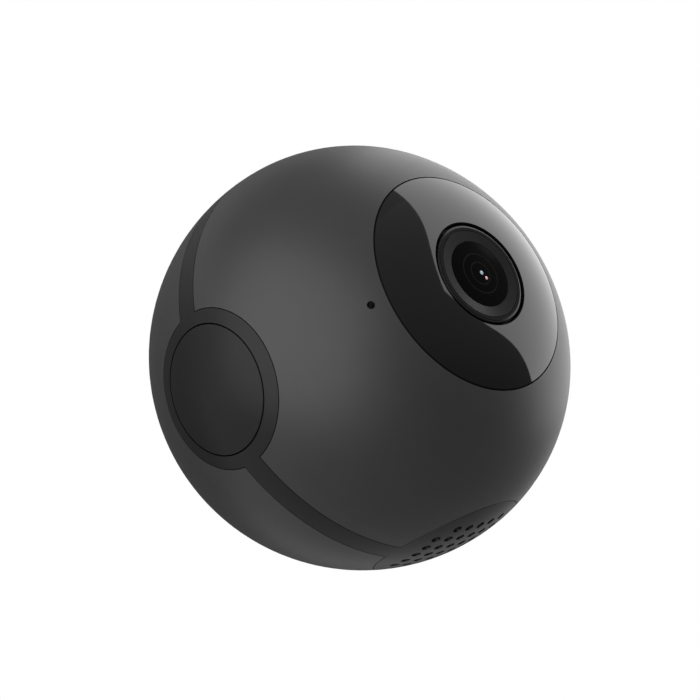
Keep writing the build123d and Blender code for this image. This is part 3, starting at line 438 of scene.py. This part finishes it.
def make_window():
    """Polished window with the exact curve of the ball's front and fine chamfers at its edges."""
    front = front_curve(WINDOW_HOLE_R + WINDOW_EDGE, WINDOW_R - WINDOW_EDGE, 0)
    hole = front_curve(WINDOW_HOLE_R, WINDOW_R, WINDOW_EDGE)
    back = front_curve(WINDOW_HOLE_R, WINDOW_R, WINDOW_T)
    profile = [hole[0], *front, hole[-1], *reversed(back)]
    place = along((1, 0, 0), (0, 0, -1), (0, 1, 0), 0, BALL_Y, 0)
    piece = lathe("window_cover", profile, place, LOOKS["window_gloss"])
    piece.data.materials.append(WINDOW_EDGE_BLACK)
    for face in piece.data.polygons:
        away = math.hypot(face.center.x, face.center.z) / MM
        if not WINDOW_HOLE_R + WINDOW_EDGE < away < WINDOW_R - WINDOW_EDGE:
            face.material_index = 1
    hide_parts("window")


make_window()

# Button
RETURN_WALL = 1.3
RETURN_ROUND = 0.15
WAIST_CUT = 0.35
WAIST_START = 0.3
WAIST_FLOOR = 0.42


def make_return_ring():
    """Silicone ring with rounded edges and a waist, made so that the real ring gives way under the button;
    here it keeps its rest shape.
    """
    low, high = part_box("button_return")
    outer = (high.y - low.y) / 2 / MM
    inner = outer - RETURN_WALL
    long = (high.x - low.x) / MM
    ring = [
        (inner + RETURN_ROUND, 0),
        (outer - RETURN_ROUND, 0),
        (outer, RETURN_ROUND),
        (outer, long * WAIST_START),
        (outer - WAIST_CUT, long * WAIST_FLOOR),
        (outer - WAIST_CUT, long * (1 - WAIST_FLOOR)),
        (outer, long * (1 - WAIST_START)),
        (outer, long - RETURN_ROUND),
        (outer - RETURN_ROUND, long),
        (inner + RETURN_ROUND, long),
        (inner, long - RETURN_ROUND),
        (inner, RETURN_ROUND),
    ]
    place = along((0, 1, 0), (0, 0, 1), (1, 0, 0), low.x, BALL_Y, 0)
    piece = lathe("return_ring", ring, place, LOOKS["rubber"])
    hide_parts("button_return")
    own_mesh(piece)


make_return_ring()

# Tripod bush, with its quarter inch thread of 20 turns to the inch
THREAD_PITCH = 1.27
THREAD_CORE_R = 2.6
THREAD_CUT = 0.55
THREAD_DEPTH = 6.6
THREAD_ROWS = 10
THREAD_SLOPE = 1.3
THREAD_FLAT = 0.15
CUTTER_GAP = 0.1
MOUTH_CHAMFER = 0.75
CUTTER_START = -0.2


def thread_radius(turn, depth):
    """Radius of the cutter that makes the thread's groove, at a turn and a depth."""
    phase = (depth / THREAD_PITCH + turn) % 1
    ridge = min(max(THREAD_SLOPE * (1 - abs(2 * phase - 1)) - THREAD_FLAT, 0), 1)
    left = min(max((THREAD_DEPTH - depth) / THREAD_PITCH, 0), 1)
    radius = THREAD_CORE_R - CUTTER_GAP + (THREAD_CUT + CUTTER_GAP) * ridge * left
    return max(radius, THREAD_CORE_R + MOUTH_CHAMFER - depth)


def make_bush():
    """Bush with its quarter inch thread cut in."""
    rows = round((THREAD_DEPTH - CUTTER_START) / THREAD_PITCH * THREAD_ROWS)
    points = []
    faces = []
    for row in range(rows + 1):
        depth = CUTTER_START + row * THREAD_PITCH / THREAD_ROWS
        for k in range(STEPS):
            a = math.tau * k / STEPS
            radius = thread_radius(k / STEPS, depth)
            points.append(Vector((-radius * math.cos(a), -depth, radius * math.sin(a))) * MM)
    for row in range(rows):
        for k in range(STEPS):
            here = row * STEPS
            after = (k + 1) % STEPS
            faces.append((here + k, here + after, here + STEPS + after, here + STEPS + k))
    faces.append(tuple(range(STEPS)))
    faces.append(tuple(rows * STEPS + k for k in range(STEPS)))
    cutter = make_piece("thread_cutter", points, faces, LOOKS["bush_metal"])
    blank = frame["nodes"]["tripod_bush"]
    bush = put("threaded_bush", blank.data.copy())
    cut = bush.modifiers.new("thread", "BOOLEAN")
    cut.operation = "DIFFERENCE"
    cut.solver = "EXACT"
    cut.object = cutter
    seen = bpy.context.evaluated_depsgraph_get()
    mesh = bpy.data.meshes.new_from_object(bush.evaluated_get(seen))
    bush.modifiers.clear()
    bush.data = mesh
    bpy.data.objects.remove(cutter)
    mesh.shade_smooth()
    mesh.set_sharp_from_angle(angle=SHARP)
    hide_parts("tripod_bush")
    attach(bush, "camera_body")


make_bush()

# Speaker mesh
WEAVE_MARGIN = 0.1
WEAVE_PITCH = 0.4
WIRE_R = 0.06
WEAVE_RISE = 0.055
MESH_BALL_R = 29.825


def make_weave():
    """Dust mesh woven from fine wires, domed like the grille in front of it."""
    low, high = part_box("speaker_mesh")
    edge = (high.x - low.x) / 2 / MM - WEAVE_MARGIN
    count = int(edge / WEAVE_PITCH)
    step = WEAVE_PITCH / 2
    points = []
    faces = []
    for across in (False, True):
        for i in range(-count, count + 1):
            side = i * WEAVE_PITCH
            reach = int(math.sqrt(max(edge**2 - side**2, 0)) / step)
            first = len(points)
            for k in range(-reach, reach + 1):
                run = k * step
                lift = WEAVE_RISE * math.cos(math.pi * (k / 2 + i)) * (-1 if across else 1)
                for out, up in ((WIRE_R, 0), (0, WIRE_R), (-WIRE_R, 0), (0, -WIRE_R)):
                    x, y = (side + out, run) if across else (run, side + out)
                    ball = MESH_BALL_R + lift + up
                    z = -math.sqrt(ball**2 - x**2 - y**2)
                    points.append(BALL_CENTRE + Vector((x, y, z)) * MM)
            for k in range(2 * reach):
                for n in range(4):
                    here = first + 4 * k
                    m = (n + 1) % 4
                    faces.append((here + n, here + m, here + 4 + m, here + 4 + n))
            if reach:
                last = first + 8 * reach
                faces.append((first, first + 1, first + 2, first + 3))
                faces.append((last, last + 1, last + 2, last + 3))
    piece = make_piece("woven_mesh", points, faces, LOOKS["mesh"])
    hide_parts("speaker_mesh")


make_weave()

# Studio. Directions are in degrees round from the lens and up. The camera's angles and place were
# fitted to the ball, window, button and belt in the photo, and its lens and sensor are in millimetres.
CAMERA_AZIMUTH = -46.973
CAMERA_ELEVATION = -11.701
CAMERA_ROLL = -24.752
CAMERA_DISTANCE = 0.3772
CAMERA_ACROSS = -0.00184
CAMERA_RISE = 0.00103
CAMERA_LENS = 129.03
CAMERA_SENSOR = 36
CAMERA_NEAR = 0.01
CAMERA_FAR = 20
FLOOR_Z = -1.0
FLOOR_SIZE = 40.0
FLOOR_ROUGHNESS = 0.9
FLOOR_SEEN = 0.92
FLOOR_UNSEEN = 0.62
FLOOR_LIFT = 0.47
WORLD_LIGHT = 0.4
BOX_DISTANCE = 0.5
BOX_BACK_GAP = 0.005
LAMP_STEPS = 48
LAMP_CORE = 0.3
LAMP_EDGE_RADIANCE = 2.4


def seen_rays(tree):
    """One where the camera, a reflection or glass sees the surface, and nought where it only gives light."""
    path = add(tree, "ShaderNodeLightPath")
    first = add(tree, "ShaderNodeMath", operation="MAXIMUM")
    seen = add(tree, "ShaderNodeMath", operation="MAXIMUM")
    tree.links.new(path.outputs["Is Camera Ray"], first.inputs[0])
    tree.links.new(path.outputs["Is Glossy Ray"], first.inputs[1])
    tree.links.new(first.outputs[0], seen.inputs[0])
    tree.links.new(path.outputs["Is Transmission Ray"], seen.inputs[1])
    return seen.outputs[0]


def make_floor():
    """Plain pale floor, about a tripod's height under the part."""
    half = FLOOR_SIZE / 2
    mesh = bpy.data.meshes.new("floor")
    corners = [(-half, -half), (half, -half), (half, half), (-half, half)]
    mesh.from_pydata([(x, y, FLOOR_Z) for x, y in corners], [], [(0, 1, 2, 3)])
    material, tree, shader = node_tree("floor_paper")
    shader.inputs["Roughness"].default_value = FLOOR_ROUGHNESS
    shader.inputs["Specular IOR Level"].default_value = 0.0
    shader.inputs["Emission Color"].default_value = (1, 1, 1, 1)
    seen = seen_rays(tree)
    pale = ranged(tree, seen, 0, 1, FLOOR_UNSEEN, FLOOR_SEEN)
    lift = ranged(tree, seen, 0, 1, 0, FLOOR_LIFT)
    tree.links.new(pale, shader.inputs["Base Color"])
    tree.links.new(lift, shader.inputs["Emission Strength"])
    mesh.materials.append(material)
    put("floor", mesh)


def facing(azimuth, elevation, distance, roll=0.0):
    """Place of a lamp, card or camera that faces the ball, from a direction and a distance."""
    a = math.radians(azimuth)
    e = math.radians(elevation)
    out = Vector((math.sin(a) * math.cos(e), -math.cos(a) * math.cos(e), math.sin(e)))
    turn = out.to_track_quat("Z", "Y").to_matrix().to_4x4()
    spin = Matrix.Rotation(math.radians(roll), 4, "Z")
    return Matrix.Translation(BALL_CENTRE + out * distance) @ turn @ spin


def glowing(name):
    """Material that gives light of its own and reflects none, with its tree and shader."""
    material, tree, shader = node_tree(name)
    shader.inputs["Base Color"].default_value = (0, 0, 0, 1)
    shader.inputs["Roughness"].default_value = 1.0
    shader.inputs["Specular IOR Level"].default_value = 0.0
    shader.inputs["Emission Color"].default_value = (1, 1, 1, 1)
    shader.inputs["Emission Strength"].default_value = 1.0
    return material, tree, shader


def for_reflections(thing, place):
    """Put a card or lamp in its place, where reflections alone see it."""
    thing.matrix_world = place
    thing.visible_camera = False
    thing.visible_diffuse = False
    thing.visible_shadow = False
    thing.visible_transmission = False


def make_card(name, place, width, height, low, high):
    """Grey card, brighter towards its top, as cloth under studio light."""
    mesh = bpy.data.meshes.new(name)
    x = width / 2
    y = height / 2
    mesh.from_pydata([(-x, -y, 0), (x, -y, 0), (x, y, 0), (-x, y, 0)], [], [(0, 1, 2, 3)])
    material, tree, shader = glowing(name)
    at = add(tree, "ShaderNodeTexCoord")
    split = add(tree, "ShaderNodeSeparateXYZ")
    tree.links.new(at.outputs["Generated"], split.inputs["Vector"])
    shade = tint(tree, split.outputs["Y"], (low, low, low), (high, high, high))
    tree.links.new(shade, shader.inputs["Emission Color"])
    mesh.materials.append(material)
    for_reflections(put(name, mesh), place)


def make_lamp(name, place, radius, radiance):
    """Small round lamp, bright in its middle."""
    mesh = bpy.data.meshes.new(name)
    ring = [math.tau * k / LAMP_STEPS for k in range(LAMP_STEPS)]
    points = [(radius * math.cos(a), radius * math.sin(a), 0) for a in ring]
    mesh.from_pydata(points, [], [tuple(range(LAMP_STEPS))])
    material, tree, shader = glowing(name)
    at = add(tree, "ShaderNodeTexCoord")
    away = add(tree, "ShaderNodeVectorMath", operation="LENGTH")
    tree.links.new(at.outputs["Object"], away.inputs[0])
    fade = ranged(tree, away.outputs["Value"], radius, radius * LAMP_CORE, LAMP_EDGE_RADIANCE, radiance)
    tree.links.new(fade, shader.inputs["Emission Strength"])
    mesh.materials.append(material)
    for_reflections(put(name, mesh), place)


def make_softbox(name, azimuth, elevation, roll, width, height, radiance):
    """Softbox of a given brightness, pointed at the ball, with its opaque back."""
    light = bpy.data.lights.new(name, "AREA")
    light.shape = "RECTANGLE"
    light.size = width
    light.size_y = height
    light.energy = math.pi * radiance * width * height
    box = put(name, light)
    box.matrix_world = facing(azimuth, elevation, BOX_DISTANCE, roll)
    back = facing(azimuth, elevation, BOX_DISTANCE + BOX_BACK_GAP, roll)
    make_card(name + "_back", back, width, height, low=0.0, high=0.0)


def make_world():
    """White for the camera and in reflections, and softer where it lights the part."""
    world = bpy.data.worlds.new("studio")
    bpy.context.scene.world = world
    world.use_nodes = True
    tree = world.node_tree
    back = tree.nodes["Background"]
    back.inputs["Color"].default_value = (1, 1, 1, 1)
    level = ranged(tree, seen_rays(tree), 0, 1, WORLD_LIGHT, 1)
    tree.links.new(level, back.inputs["Strength"])


def make_camera():
    """Camera at the photo's viewing angle."""
    data = bpy.data.cameras.new("camera")
    data.sensor_width = CAMERA_SENSOR
    data.lens = CAMERA_LENS
    data.clip_start = CAMERA_NEAR
    data.clip_end = CAMERA_FAR
    camera = put("camera", data)
    place = facing(CAMERA_AZIMUTH, CAMERA_ELEVATION, CAMERA_DISTANCE, CAMERA_ROLL)
    camera.matrix_world = place @ Matrix.Translation((CAMERA_ACROSS, CAMERA_RISE, 0))
    bpy.context.scene.camera = camera


def make_lights():
    """Two softboxes, the cards that the ball and its window mirror, and the lamp of the lens's glints.

    A softbox is given its azimuth, elevation and roll, and a card its azimuth, elevation and distance.
    """
    make_softbox("right_box", 77.9, 16.3, 47, width=0.765, height=0.765, radiance=2.1)
    make_softbox("left_box", -69.9, 16.1, 52.5, width=0.88, height=0.914, radiance=2.02)
    make_card("front_wall", facing(22, 3, 0.78), width=2.6, height=1.9, low=0.04, high=0.45)
    make_card("left_wall", facing(-90, 20, 0.8), width=1.6, height=1.2, low=0.3, high=0.6)
    make_card("back_wall", facing(170, 16.5, 0.8), width=1.6, height=1.06, low=0.06, high=0.25)
    make_card("ceiling", facing(0, 82.5, 0.8), width=1.6, height=1.42, low=0.33, high=0.33)
    make_card("table", facing(180, -84, 0.5), width=2.6, height=1.5, low=0.1, high=0.55)
    make_lamp("lens_lamp", facing(56.3, 16.5, 0.45), radius=0.032, radiance=10)


make_floor()
make_world()
make_lights()
make_camera()
bpy.context.scene.view_settings.view_transform = "Standard"
